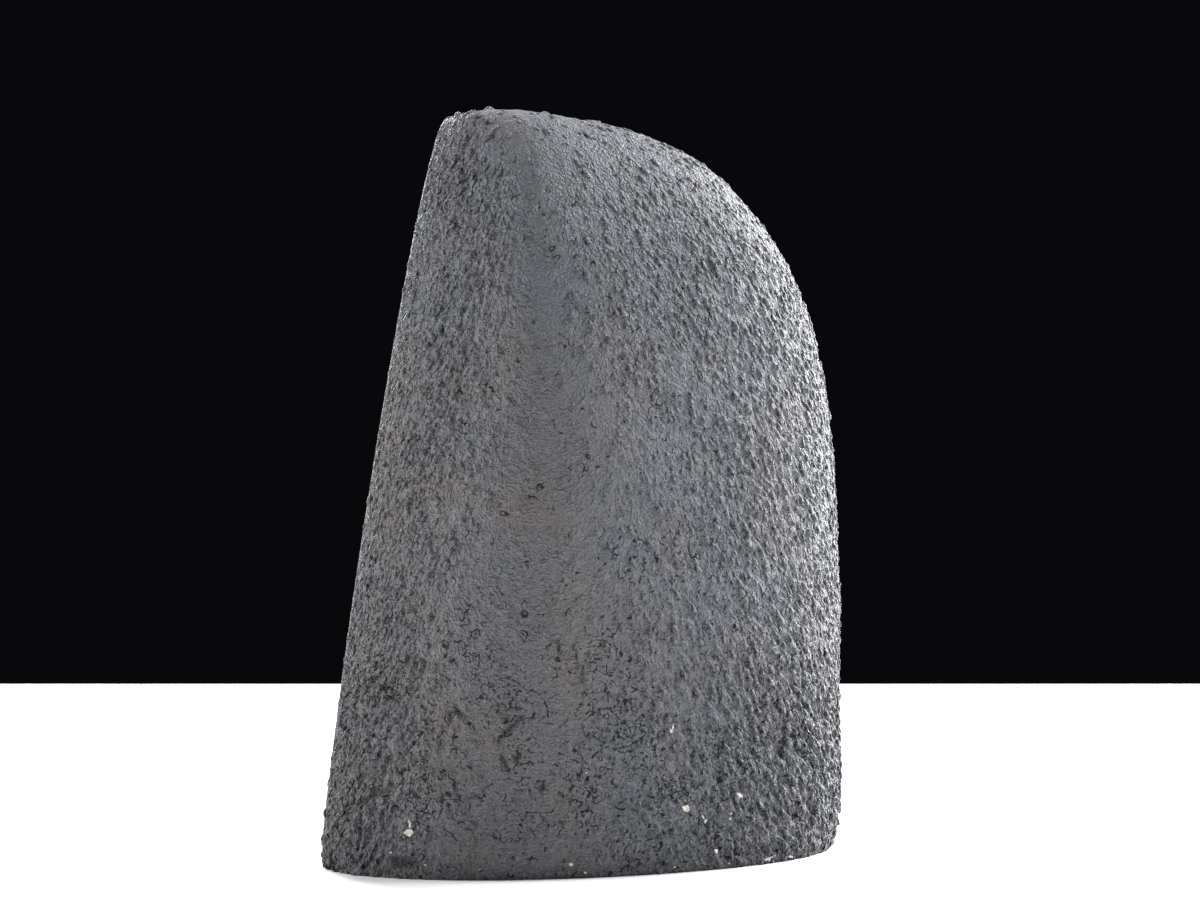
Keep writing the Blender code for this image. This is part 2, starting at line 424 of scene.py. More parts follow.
def rimLoop(ids, wanted):
    # the ids along the sawn face's edge or the base's edge, in order from the straight side's foot
    back, straight, rounded, top = ids
    if wanted == "face":
        return np.concatenate([straight[0], top[::-1, 0][1:], rounded[0][::-1][1:]])
    return np.concatenate([straight[:, 0], back[::-1, 0][1:], rounded[::-1, 0][1:]])


def crowdRows(points, front, base):
    # draws the rows next to the sawn face closer to it, so the rounded rim has faces enough
    reach = mm(coat["rimCrowding"])
    depth = np.clip((points[:, 1] - middle[1]) / reach, 0, 1)
    points[:, 1] = np.where(depth < 1, middle[1] + reach * depth ** coat["rimPower"], points[:, 1])
    return onSkin(points, front, base, 0.0)


def roundRim(points, normals):
    # turns the sawn edge over in a small quarter round
    radius = mm(coat["rimRound"])
    quarter = 0.98  # just short of the whole quarter, so that no face turns edge-on
    rise = np.clip(1 - (points[:, 1] - middle[1]) / radius, 0, 1)
    return points - unit(normals * (1, 0, 1)) * (radius * (1 - np.sqrt(1 - quarter * rise * rise)))[:, None]


def gridNormals(points, quads):
    across = points[quads[:, 2]] - points[quads[:, 0]]
    along = points[quads[:, 3]] - points[quads[:, 1]]
    faceNormals = np.cross(across, along)
    total = [np.bincount(quads.ravel(), np.repeat(faceNormals[:, a], 4), len(points)) for a in range(3)]
    return unit(np.stack(total, 1))


def strokeHeading(normals):
    # the way a stroke of wet cement ran: down, and outwards to the nearer side
    facing = np.arctan2(normals @ viewRight, normals @ -viewAhead)
    outward = -np.sin(facing)[:, None] * -viewAhead + np.cos(facing)[:, None] * viewRight
    down = unit(normals * normals[:, 2:] - (0, 0, 1))
    most, soon = coat["strokeLean"]
    lean = math.radians(most) * np.tanh(facing / soon)
    return down * np.cos(lean)[:, None] + outward * np.sin(lean)[:, None], facing


def coatRelief(points, normals):
    # how far the skin stands out, in mm
    heading, facing = strokeHeading(normals)
    left, brush, patch = facing < 0, coat["strokes"], coat["gritPatches"]
    still = 0.1  # below this share nothing is brushed
    turned = np.where(left, smoothStep(*coat["turnLeft"], -facing), smoothStep(*coat["turnRight"], facing))
    sides = coat["middleShare"] + (1 - coat["middleShare"]) * turned
    *span, loss = coat["topFade"]
    sides *= 1 - loss * smoothStep(*span, normals[:, 2])
    high, low, *gains = coat["footGain"]
    sides *= 1 + np.where(left, *gains) * smoothStep(high, low, points[:, 2])
    sides *= np.where(left, coat["straightSide"], 1.0)
    heading *= np.minimum((1 + still) * sides - still, 1)[:, None]
    taps = np.linspace(-0.5, 0.5, brush["taps"]) * mm(brush["length"])
    strokes = [noiseOver(points + heading * tap, brush["width"], brush["shift"]) for tap in taps]
    strokes = np.tanh(brush["steep"] * (sum(strokes) / len(taps)) + brush["lift"])
    ridges = brush["height"] * strokes * np.maximum(sides - still, 0)
    relief = sum(height * noiseOver(points, size, shift) for size, height, shift in coat["lumps"])
    relief += ridges - coat["sideInset"] * np.minimum(sides, 1) ** 2
    crowd = np.clip(noiseOver(points, patch["size"], patch["shift"]) + patch["bias"], 0, patch["most"])
    return relief, heading, sides * (patch["least"] + patch["gain"] * crowd), sides


def onCoat(surface, pixel):
    # where the sight line through a pixel meets the coat, or passes it most closely
    start, heading = sightLine(pixel)
    spot, normal, _, _ = surface.ray_cast(start, heading)
    if spot is None:
        spot, normal, _, _ = surface.find_nearest(start + heading * start.length)
    return spot, normal


def markCoat(points, quads):
    # where the sight lines through the marks meet the coat: mm sunk, painted shadow, grain-free share, relief
    # share
    surface = BVHTree.FromPolygons(points.tolist(), quads.tolist())
    sunk, shadow, bare, share = np.zeros(len(points)), np.zeros(len(points)), np.zeros(len(points)), 1.0
    cuts = list(coat["cuts"])
    cuts += [(pixel, pixel, *rest) for pixel, *rest in coat["pits"]]
    cuts += [(pixel, pixel, halfWidth, -height, 0.0) for pixel, halfWidth, height in coat["knobs"]]
    for first, last, halfWidth, deep, dark in cuts:
        start, end = (np.array(onCoat(surface, pixel)[0]) for pixel in (first, last))
        along = end - start
        reach = np.clip((points - start) @ along / max(along @ along, tiny), 0, 1)
        away = np.linalg.norm(points - start - reach[:, None] * along, axis=1) * 1000
        inside = smoothStep(*coat["markEdge"], away / halfWidth)
        sunk += deep * inside
        shadow = np.maximum(shadow, dark * inside)
        bare = np.maximum(bare, smoothStep(halfWidth + coat["bareMargin"], halfWidth, away))
    for pixel, halfWidth, stays in coat["patches"]:
        spot = np.array(onCoat(surface, pixel)[0])
        away = np.linalg.norm(points - spot, axis=1) * 1000
        share = share * (1 + (stays - 1) * smoothStep(*coat["patchEdge"], away / halfWidth))
    return sunk, shadow, bare, share


def buildCoat():
    outer, eased, outerIds, front, base = skinGrid(coat["gridCells"], coat["outerRounds"], 0.0)
    thickness = mm(coat["thickness"])
    inner, innerEased, innerIds, _, _ = skinGrid(coat["gridCells"], coat["innerRounds"], thickness)
    outer = crowdRows(outer, front, base) + eased
    inner = inner + innerEased
    quads = gridQuads(outerIds)
    normals = gridNormals(outer, quads)
    relief, heading, grit, side = coatRelief(outer, normals)
    depth = (outer[:, 1] - middle[1]) * 1000
    least = coat["hemLeast"]
    low = least + (1 - least) * smoothStep(0, coat["hemFade"], outer[:, 2] * 1000)
    fade = smoothStep(0, coat["rimFade"], depth) * low
    outer = roundRim(outer, normals)
    sunk, shadow, bare, share = markCoat(outer, quads)
    relief = relief * fade * share - sunk
    grit = grit * fade * (1 - bare) * np.minimum(share, 1)
    push = normals * (relief / 1000)[:, None]
    push[front, 1] = 0
    push[base, 2] = 0
    outer = outer + push
    faces = quads.tolist()
    faces += (gridQuads(innerIds)[:, ::-1] + len(outer)).tolist()
    step = 2 ** (len(coat["outerRounds"]) - len(coat["innerRounds"]))
    for edge, turned in (("face", False), ("base", True)):
        fine = rimLoop(outerIds, edge).tolist()
        rough = (rimLoop(innerIds, edge) + len(outer)).tolist()
        for n in range(len(rough) - 1):
            strip = fine[n * step : (n + 1) * step + 1] + [rough[n + 1], rough[n]]
            faces.append(strip[::-1] if turned else strip)
    mesh = meshFrom("cementCoat", np.concatenate([outer, inner]), faces)
    mesh.shade_smooth()
    roughest = 1.5  # the most that a patch adds to the sides' grit
    # the mark values are painted shadow: the colour is darkened in the dents, scratches and pits
    for name, values in (("grit", grit), ("paintedMarkShade", shadow), ("side", side * np.minimum(share, roughest))):
        addPointValue(mesh, name, np.concatenate([values, np.zeros(len(inner))]))
    heading = np.concatenate([heading, np.zeros((len(inner), 3))]).astype(np.float32)
    mesh.attributes.new("flow", "FLOAT_VECTOR", "POINT").data.foreach_set("vector", heading.ravel())
    return mesh


coatMesh = buildCoat()
cementCoat = newObject("cementCoat", coatMesh)
print("coat:", len(coatMesh.vertices), "points,", len(coatMesh.polygons), "faces")


def newMaterial(name):
    material = bpy.data.materials.new(name)
    material.use_nodes = True
    material.node_tree.nodes.clear()
    return material, material.node_tree


def makeCementPaint():
    # masonry paint brushed thickly over sanded cement: dead matt, with the grit lifting it everywhere
    material, tree = newMaterial("mattPaintOnSandedCement")
    add = partial(addNode, tree)
    place = add("ShaderNodeTexCoord").outputs["Object"]
    flow = add("ShaderNodeAttribute", attribute_name="flow").outputs["Vector"]
    # painted shadow laid into the dents, scratches and pits
    paintedMarkShade = add("ShaderNodeAttribute", attribute_name="paintedMarkShade").outputs["Fac"]
    side = add("ShaderNodeAttribute", attribute_name="side").outputs["Fac"]
    spot = add("ShaderNodeSeparateXYZ", {0: place})
    level, across = spot.outputs["Z"], spot.outputs["X"]

    # the grit, drawn out along the brush strokes by averaging the noise along them
    height = 0.0
    for size, midRise, sideRise, reach in coat["grit"]:
        taps = (-1.0, 0.0, 1.0) if reach else (0.0,)
        gain = 2 / len(taps) ** 0.6  # averaging flattens noise, and this makes up for it
        total = 0.0
        for tap in taps:
            step = add("ShaderNodeVectorMath", {0: flow, 3: mm(reach) * tap}, operation="SCALE")
            spot = add("ShaderNodeVectorMath", {0: place, 1: step}, operation="ADD")
            grain = add("ShaderNodeTexNoise", {"Vector": spot, "Scale": perMm(size), "Detail": 0.0})
            lift = add("ShaderNodeMapRange", {"Value": grain, "To Min": -gain, "To Max": gain})
            total = add("ShaderNodeMath", {0: total, 1: lift}, operation="ADD")
        rise = add("ShaderNodeMapRange", {"Value": side, "To Min": midRise, "To Max": sideRise}, clamp=False)
        total = add("ShaderNodeMath", {0: total, 1: rise}, operation="MULTIPLY")
        height = add("ShaderNodeMath", {0: height, 1: total}, operation="ADD")
    low, high, ease = coat["film"]
    film = add("ShaderNodeMapRange", {"Value": side, "To Min": low, "To Max": high})
    height = add("ShaderNodeMath", {0: height, 1: film, 2: ease}, operation="SMOOTH_MIN")

    # how much more the crevices open, here and low down
    size, opener = coat["roughPatches"]
    patchy = add("ShaderNodeTexNoise", {"Vector": place, "Scale": perMm(size), "Detail": 1.0})
    more = 0.0
    for value, span in ((patchy, (0.35, 0.65, -opener, opener)), (level, coat["openLow"])):
        part = add("ShaderNodeMapRange", dict(enumerate((value, *span))))
        more = add("ShaderNodeMath", {0: more, 1: part}, operation="ADD")

    # round grains that lift the film, and crevices where no grain is near
    holes = 0.0
    few, least, most = coat["grainReach"]
    for apart, midRise, sideRise, opening in coat["grains"]:
        grain = add("ShaderNodeTexVoronoi", {"Vector": place, "Scale": perMm(apart)})
        away = grain.outputs["Distance"]
        chance = add("ShaderNodeSeparateColor", {0: grain.outputs["Color"]}).outputs["Red"]
        sockets = {"Value": chance, "From Min": few, "To Min": least, "To Max": most}
        reach = add("ShaderNodeMapRange", sockets)
        rise = add("ShaderNodeMapRange", {"Value": side, "To Min": midRise, "To Max": sideRise}, clamp=False)
        dome = away
        for operation, value in (("DIVIDE", reach), ("POWER", 2.0)):
            dome = add("ShaderNodeMath", {0: dome, 1: value}, operation=operation)
        dome = add("ShaderNodeMath", {0: 1.0, 1: dome}, operation="SUBTRACT")
        dome = add("ShaderNodeMath", {0: dome, 1: 0.0, 2: coat["grainEase"]}, operation="SMOOTH_MAX")
        for factor in (reach, rise):
            dome = add("ShaderNodeMath", {0: dome, 1: factor}, operation="MULTIPLY")
        height = add("ShaderNodeMath", {0: height, 1: dome}, operation="ADD")
        empty = add("ShaderNodeMath", {0: away, 1: more}, operation="ADD")
        edge = opening + coat["creviceEdge"]
        hole = add("ShaderNodeMapRange", {"Value": empty, "From Min": opening, "From Max": edge})
        holes = add("ShaderNodeMath", {0: holes, 1: hole}, operation="MAXIMUM")
    size, low, high = coat["dust"]
    dust = add("ShaderNodeTexNoise", {"Vector": place, "Scale": perMm(size), "Detail": 0.0})
    rise = add("ShaderNodeMapRange", {"Value": side, "To Min": 2 * low, "To Max": 2 * high}, clamp=False)
    for operation, value in (("SUBTRACT", 0.5), ("MULTIPLY", rise), ("ADD", height)):
        dust = add("ShaderNodeMath", {0: dust, 1: value}, operation=operation)
    height = dust

    # cracks: broken lengths of curved lines, more of them in the same patches
    apart, breaks, opening, edge = coat["cracks"]
    line = add("ShaderNodeTexNoise", {"Vector": place, "Scale": perMm(apart), "Detail": 1.0})
    for operation in ("SUBTRACT", "ABSOLUTE"):
        line = add("ShaderNodeMath", {0: line, 1: 0.5}, operation=operation)
    line = add("ShaderNodeMapRange", dict(enumerate((line, *coat["crackLine"], 1.0, 0.0))))
    gaps = add("ShaderNodeTexNoise", {"Vector": place, "Scale": perMm(breaks), "Detail": 0.0})
    gaps = add("ShaderNodeMath", {0: gaps, 1: more}, operation="ADD")
    broken = add("ShaderNodeMapRange", {"Value": gaps, "From Min": opening, "From Max": opening + edge})
    crack = add("ShaderNodeMath", {0: line, 1: broken}, operation="MULTIPLY")
    holes = add("ShaderNodeMath", {0: holes, 1: crack}, operation="MAXIMUM")

    # colour: two greys in patches, then a painted highlight on the grit's peaks and painted shade wherever it
    # sinks, in the marks and towards the foot
    patches = add("ShaderNodeTexNoise", {"Vector": place, "Scale": perMm(coat["tints"]), "Detail": 3.0})
    for value, span in ((across, coat["coolAcross"]), (level, coat["coolUp"])):
        part = add("ShaderNodeMapRange", dict(enumerate((value, *span))))
        patches = add("ShaderNodeMath", {0: patches, 1: part}, operation="ADD")
    under = {"patches": patches, "level": level, "height": height, "holes": holes, "paintedMarkShade": paintedMarkShade}
    tint = hexColour(coat["warm"])
    for name, low, high, most, colour in coat["layers"]:
        share = add("ShaderNodeMapRange", dict(enumerate((under[name], low, high, 0.0, most))))
        tint = add("ShaderNodeMix", {0: share, 6: tint, 7: hexColour(coat[colour])}, data_type="RGBA")

    sunk = add("ShaderNodeMath", {0: holes, 1: -coat["creviceDepth"]}, operation="MULTIPLY")
    height = add("ShaderNodeMath", {0: height, 1: sunk}, operation="ADD")
    bump = add("ShaderNodeBump", {"Height": height, "Strength": 1.0, "Distance": mm(1)})
    # no shine from inside a crevice
    bright, dull = coat["shine"]
    hidden = add("ShaderNodeMath", {0: holes, 1: paintedMarkShade}, operation="MAXIMUM")
    shine = add("ShaderNodeMapRange", {"Value": hidden, "To Min": bright, "To Max": dull})
    look = {"Base Color": tint, "Roughness": coat["roughness"], "IOR": coat["ior"], "Normal": bump}
    shader = add("ShaderNodeBsdfPrincipled", {**look, "Specular IOR Level": shine})
    add("ShaderNodeOutputMaterial", {"Surface": shader})
    return material


cementPaintMaterial = makeCementPaint()
cementCoat.data.materials.append(cementPaintMaterial)
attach(cementCoat, "root")
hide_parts("cement_coat")


# sand grains standing out of the coat, under the same paint
sandGrains = {
    # metres
    "large": {"Spacing": 0.0022, "Width": 0.0016, "Length": 0.0030, "Height": 0.0009, "Seed": 4},
    "small": {"Spacing": 0.0016, "Width": 0.0011, "Length": 0.0018, "Height": 0.0007, "Seed": 9},
}


def scatterPoints(tree, named, crowding, factor):
    # points a spacing apart over the mesh, and the rotation that stands a shape on each
    add = partial(addNode, tree)
    area = add("ShaderNodeMath", {0: named["Spacing"], 1: named["Spacing"]}, operation="MULTIPLY")
    density = add("ShaderNodeMath", {0: crowding, 1: area}, operation="DIVIDE")
    scatter = add(
        "GeometryNodeDistributePointsOnFaces",
        {
            "Mesh": named["Geometry"], "Distance Min": named["Spacing"], "Density Max": density,
            "Density Factor": factor, "Seed": named["Seed"],
        },
        distribute_method="POISSON",
    )
    upright = add("FunctionNodeAlignRotationToVector", {"Vector": scatter.outputs["Normal"]}, axis="Z")
    return scatter.outputs["Points"], upright


def placeShapes(tree, end, points, shape, rotation, lengths, size, material):
    # one shape on every point, as real geometry with its material
    add = partial(addNode, tree)
    lengths = add("ShaderNodeCombineXYZ", dict(zip("XYZ", lengths)))
    scale = add("ShaderNodeVectorMath", {0: lengths, 3: size}, operation="SCALE")
    sockets = {"Points": points, "Instance": shape, "Rotation": rotation, "Scale": scale}
    whole = add("GeometryNodeRealizeInstances", {0: add("GeometryNodeInstanceOnPoints", sockets)})
    finished = add("GeometryNodeSetMaterial", {"Geometry": whole, "Material": material})
    tree.links.new(finished.outputs[0], end.inputs[0])


def makeGrainTree(material):
    tree, start, end = newShapeTree("sandGrains", sandGrains["large"])
    add, named = partial(addNode, tree), start.outputs
    crowding = 1.6  # more points than fit, so that the spacing decides
    smallest, largest = 0.65, 1.25  # share of the stated size
    flow = add("GeometryNodeInputNamedAttribute", {"Name": "flow"}, data_type="FLOAT_VECTOR")
    grit = add("GeometryNodeInputNamedAttribute", {"Name": "grit"}, data_type="FLOAT")
    points, upright = scatterPoints(tree, named, crowding, grit)
    sockets = {"Rotation": upright, "Vector": flow}
    along = add("FunctionNodeAlignRotationToVector", sockets, axis="Y", pivot_axis="Z")
    size = add("FunctionNodeRandomValue", {2: smallest, 3: largest, "Seed": named["Seed"]}, data_type="FLOAT")
    ball = add("GeometryNodeMeshIcoSphere", {"Radius": 0.5, "Subdivisions": 1})
    smooth = add("GeometryNodeSetShadeSmooth", {"Geometry": ball})
    lengths = [named[name] for name in ("Width", "Length", "Height")]
    placeShapes(tree, end, points, smooth, along, lengths, size, material)
    return tree


grainTree = makeGrainTree(cementPaintMaterial)
for size, values in sandGrains.items():
    mesh = runShapeTree(cementCoat, grainTree, values, size + "SandGrains")
    grains = newObject(size + "SandGrains", mesh)
    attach(grains, "root")
    print(size, "sand grains:", len(mesh.polygons), "faces")


# chips that show the white plaster under the paint
chips = {
    # pixel, half width and half height in pixels, turn in degrees
    "places": (
        ((408, 833), 4.4, 4.2, 8), ((410, 826), 1.1, 3.6, -8), ((409, 822), 0.8, 2.6, 14),
        ((686, 808), 3.4, 3.3, 0), ((703, 817), 0.9, 3.8, 35), ((706, 820.5), 1.0, 3.0, -30),
        ((740.5, 795), 3.2, 2.9, 0), ((729.5, 817), 1.3, 3.0, 10), ((731, 813.5), 1.6, 1.2, 0),
        ((671, 731), 1.8, 2.0, 0), ((673, 727), 0.7, 3.0, -8), ((716, 851), 1.9, 2.3, 20),
        ((674.5, 867), 1.2, 1.1, 0), ((729, 863.5), 0.9, 0.8, 0), ((768, 859), 3.6, 2.6, 12),
        ((773, 856.5), 2.6, 1.0, 25), ((790.5, 856.5), 2.6, 1.4, -10), ((571, 864.5), 2.2, 1.5, 0),
        ((585, 872.5), 1.3, 1.0, 0), ((425.5, 865), 1.2, 1.0, 0), ((391, 852.5), 1.1, 0.9, 0),
        ((353, 598), 0.7, 2.4, 10), ((378, 862), 1.0, 0.8, 0), ((586, 773), 0.8, 0.7, 0),
        ((480, 869.5), 0.8, 0.7, 0),
    ),
    "rings": ((1.0, 0.3), (0.6, 1.0)),  # share of the radius, share of the height
    "corners": 11, "ragged": 0.32, "proud": 0.12, "sunk": 0.5,  # share of the radius, mm, mm
    "plaster": "c9c6be", "stain": "8f8b84", "staining": (0.52, 0.30, 0.0, 0.8),  # noise from, to, share
    "grain": 0.8, "bump": (0.6, 0.3),  # mm across a grain, strength and mm high
    "roughness": 0.85, "ior": 1.5, "seed": 5,
}


def buildChips():
    corners, sides = [v.co for v in coatMesh.vertices], [p.vertices for p in coatMesh.polygons]
    surface = BVHTree.FromPolygons(corners, sides)
    rng = np.random.default_rng(chips["seed"])
    points, faces = [], []
    count = chips["corners"]
    for pixel, halfWidth, halfHeight, turn in chips["places"]:
        tilt = math.radians(turn)
        first = len(points)
        for ring, lift in chips["rings"]:
            swings = 1 + chips["ragged"] * rng.uniform(-1, 1, count)
            for n in range(count):
                angle = 2 * math.pi * n / count
                across = halfWidth * ring * swings[n] * math.cos(angle)
                up = halfHeight * ring * swings[n] * math.sin(angle)
                aim = (
                    pixel[0] + across * math.cos(tilt) - up * math.sin(tilt),
                    pixel[1] - across * math.sin(tilt) - up * math.cos(tilt),
                )
                spot, normal = onCoat(surface, aim)
                points.append(spot + normal * mm(chips["proud"] * lift))
        spot, normal = onCoat(surface, pixel)
        points += [spot + normal * mm(chips["proud"]), spot - normal * mm(chips["sunk"])]
        top, bottom = len(points) - 2, len(points) - 1
        for n in range(count):
            after = (n + 1) % count
            outside, outsideAfter = first + n, first + after
            inside, insideAfter = outside + count, outsideAfter + count
            faces += [(outside, outsideAfter, insideAfter, inside), (inside, insideAfter, top)]
            faces.append((outsideAfter, outside, bottom))
    return meshFrom("plasterChips", points, faces)


def makePlaster():
    # set plaster where the paint has flaked away: chalky and matt, stained at the edges
    material, tree = newMaterial("barePlaster")
    add = partial(addNode, tree)
    place = add("ShaderNodeTexCoord").outputs["Object"]
    grain = add("ShaderNodeTexNoise", {"Vector": place, "Scale": perMm(chips["grain"]), "Detail": 3.0})
    share = add("ShaderNodeMapRange", dict(enumerate((grain, *chips["staining"]))))
    colours = hexColour(chips["plaster"]), hexColour(chips["stain"])
    tint = add("ShaderNodeMix", {0: share, 6: colours[0], 7: colours[1]}, data_type="RGBA")
    strength, high = chips["bump"]
    bump = add("ShaderNodeBump", {"Height": grain, "Strength": strength, "Distance": mm(high)})
    look = {"Base Color": tint, "Roughness": chips["roughness"], "IOR": chips["ior"], "Normal": bump}
    add("ShaderNodeOutputMaterial", {"Surface": add("ShaderNodeBsdfPrincipled", look)})
    return material


plasterChips = newObject("plasterChips", buildChips())
plasterChips.data.materials.append(makePlaster())
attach(plasterChips, "root")
print("plaster chips:", len(plasterChips.data.polygons), "faces")


# the hollow, in metres; the wall and the crust are rings of points round the polished face's middle
hollow = {
    "inset": 0.017, "middleHeight": 0.080, "floor": 0.025, "floorTurn": 2.6,
    "turns": (2.5, 3.3),  # how squarely: round the section, up the side
    "wave": 0.07, "wavesRound": 2.1,  # share of the width in or out, and how closely
    "headings": 288,  # points in each ring
    "crownSpan": (0.2, 0.25),  # radians back from the face, and share of the way up, to the whole crown inset
    "sharpEdge": 30.0,  # degrees
}


def hollowMeasure(points, movedIn):
    # under 1 inside the hollow, with its skin moved in
    h = hollow
    offset = points - middle
    waves = [noise.noise(place) for place in (unit(offset) * h["wavesRound"]).tolist()]
    offset = offset / (1 + h["wave"] * np.array(waves))[:, None]
    places = middle + offset
    inset = h["inset"] + movedIn
    across, along = sectionPlace(places, inset)
    rise = places[:, 2] - h["middleHeight"]
    upward = np.maximum(rise, 0) / (nodule["height"] - inset - h["middleHeight"])
    downward = np.maximum(-rise, 0) / (h["middleHeight"] - h["floor"] - movedIn)
    return np.hypot(across, along) ** h["turns"][0] + upward ** h["turns"][1] + downward ** h["floorTurn"]


def ringsOn(measure, insets, elevations, crownInset=0.0):
    # rings of points on a shape, from the polished face (elevation 0) to its back (90 degrees)
    turns = np.arange(hollow["headings"]) * 2 * math.pi / hollow["headings"]
    back, upward = hollow["crownSpan"]
    rings = []
    for inset, elevation in zip(insets, np.radians(elevations)):
        level = math.cos(elevation)
        aims = [np.cos(turns) * level, np.full(len(turns), math.sin(elevation)), np.sin(turns) * level]
        aims = np.stack(aims, 1)
        deeper = crownInset * min(elevation / back, 1) * smoothStep(0, upward, aims[:, 2])
        points = pushOut(middle + aims, middle, measure, inset + deeper)
        # the saw took off the foot
        below = points[:, 2] < 0
        offset = points[below] - middle
        points[below] = middle + offset * (middle[2] / -offset[:, 2])[:, None]
        rings.append(points)
    return rings


def ringedWall(outer, outerInset, inner, innerInset, rows, crownInset=0.0):
    # the rings of a wall: up its outside to the face, across the face, and down into the hollow
    backRows, faceRows, insideRows = rows
    up = np.linspace(90, 0, backRows + 1)[1:]
    outside = ringsOn(outer, [mm(outerInset)] * len(up), up, mm(crownInset))
    down = np.linspace(0, 90, insideRows + 1)[:-1]
    inside = ringsOn(inner, [mm(innerInset)] * len(down), down)
    shares = np.linspace(0, 1, faceRows + 1)[1:-1]
    face = [outside[-1] * (1 - share) + inside[0] * share for share in shares]
    return outside, face, inside, shares


def loftRings(rings):
    # joins the rings in order and closes the first and the last to a point
    count = len(rings[0])
    points = np.concatenate([rings[0].mean(0)[None]] + rings + [rings[-1].mean(0)[None]])
    faces = []
    for n in range(count):
        after = (n + 1) % count
        faces.append((0, 1 + after, 1 + n))
        for row in range(len(rings) - 1):
            start = 1 + row * count
            faces.append((start + n, start + after, start + count + after, start + count + n))
        start = 1 + (len(rings) - 1) * count
        faces.append((start + n, start + after, len(points) - 1))
    return points, faces


# agate wall: rock skin, banded agate and milky quartz, sawn and polished at the face
agateWall = {
    "gap": 0.05, "crownInset": 4.0,  # mm clear of the coat, and further in under the crown
    "rows": (14, 24, 12),  # rings on the outside, across the face and in the hollow
    # mm in from the hollow: violet quartz, milky quartz, grey and blue bands, green rock skin, brown rock
    "layers": (
        (0.0, "43356a"), (0.8, "665f86"), (2.4, "7f7f88"), (5.6, "6f717a"), (6.8, "3a4450"),
        (7.6, "747980"), (8.6, "323d48"), (9.6, "5c646b"), (10.6, "2d373f"), (11.8, "1d2622"),
        (14.0, "232a28"), (16.0, "2b2521"), (20.0, "1c2220"), (25.0, "2f2924"), (32.0, "191d1c"),
    ),
    "wander": (14.0, 2.6),  # mm across, mm in or out
    "fineBands": (0.7, 0.84, 1.06),  # mm from one to the next, darkest, lightest
    "cloud": (2.2, 0.66, 1.22),  # mm across, darkest, lightest
    "roughness": 0.16, "ior": 1.544,
}


def buildAgateWall():
    wall = agateWall
    clear = coat["thickness"] + wall["gap"]
    shells = (noduleMeasure, clear, hollowMeasure, 0.0)
    outside, face, inside, shares = ringedWall(*shells, wall["rows"], wall["crownInset"])
    points, faces = loftRings(outside + face + inside)
    width = np.linalg.norm(outside[-1] - inside[0], axis=1) * 1000
    fromHollow = [width] * len(outside) + [width * (1 - share) for share in shares]
    fromHollow += [width * 0] * len(inside)
    mesh = meshFrom("agateWall", points, faces)
    addPointValue(mesh, "fromHollow", np.concatenate([[0]] + fromHollow + [[0]]))
    mesh.shade_smooth()
    mesh.set_sharp_from_angle(angle=math.radians(hollow["sharpEdge"]))
    return mesh


agateWallPiece = newObject("agateWall", buildAgateWall())
print("agate wall:", len(agateWallPiece.data.polygons), "faces")


# amethyst lining: a crust over the wall, and the points that stand on it
amethyst = {
    "gap": 0.1, "thickness": 3.5,  # mm
    "rows": (12, 3, 64),  # rings on the outside, across the face and over the crust
    "lumps": ((7.0, 0.9), (2.2, 0.7), (0.9, 0.3)), "lumpShift": 2.7,  # mm across, mm high; where in the noise
    "lumpAim": 0.012,  # metres behind the face, where the lumps point to
    "pointSunk": 0.22, "pointUneven": 0.06,  # share of the length and of the width
    "rarity": 1.6, "largest": 1.15,  # how few are large, and the largest share of the stated size
    # metres between the points, across and along one, then the smallest share and the lean in radians
    "points": {
        "large": {
            "Spacing": 0.0056, "Width": 0.0092, "Length": 0.0130, "Smallest": 0.50, "Tilt": 0.30, "Seed": 3,
        },
        "small": {
            "Spacing": 0.0028, "Width": 0.0046, "Length": 0.0066, "Smallest": 0.55, "Tilt": 0.42, "Seed": 8,
        },
    },
    "flush": (0.06, 0.04, 1.7),  # mm behind the face where points are ground off, mm uneven, how quickly
    "crust": {"pale": "6c5a8c", "deep": "2f1752", "clear": 0.0, "roughness": 0.22, "span": (0.35, 0.6)},
    "crystal": {"pale": "e4dcf2", "deep": "a888d8", "clear": 1.0, "roughness": 0.04, "span": (0.45, 1.15)},
    "absorbed": "8a5cc8", "density": 130.0, "ior": 1.544, "zones": 9.0,  # mm across a deeper zone
}


def buildAmethystBed():
    bed = amethyst
    shells = (hollowMeasure, bed["gap"], hollowMeasure, bed["thickness"])
    outside, face, inside, _ = ringedWall(*shells, bed["rows"])
    crust = []
    for row, ring in enumerate(inside):
        lift = sum(height * noiseOver(ring, size, bed["lumpShift"]) for size, height in bed["lumps"])
        inward = unit(middle + (0, bed["lumpAim"], 0) - ring) * (1, 0 if row == 0 else 1, 1)
        crust.append(ring + inward * mm(lift)[:, None])
    points, faces = loftRings(outside + face + crust)
    mesh = meshFrom("amethystBed", points, faces)
    grown = np.zeros(len(points))
    grown[1 + (len(outside) + len(face)) * hollow["headings"]:] = 1
    addPointValue(mesh, "grown", grown)
    mesh.shade_smooth()
    mesh.set_sharp_from_angle(angle=math.radians(hollow["sharpEdge"]))
    return mesh


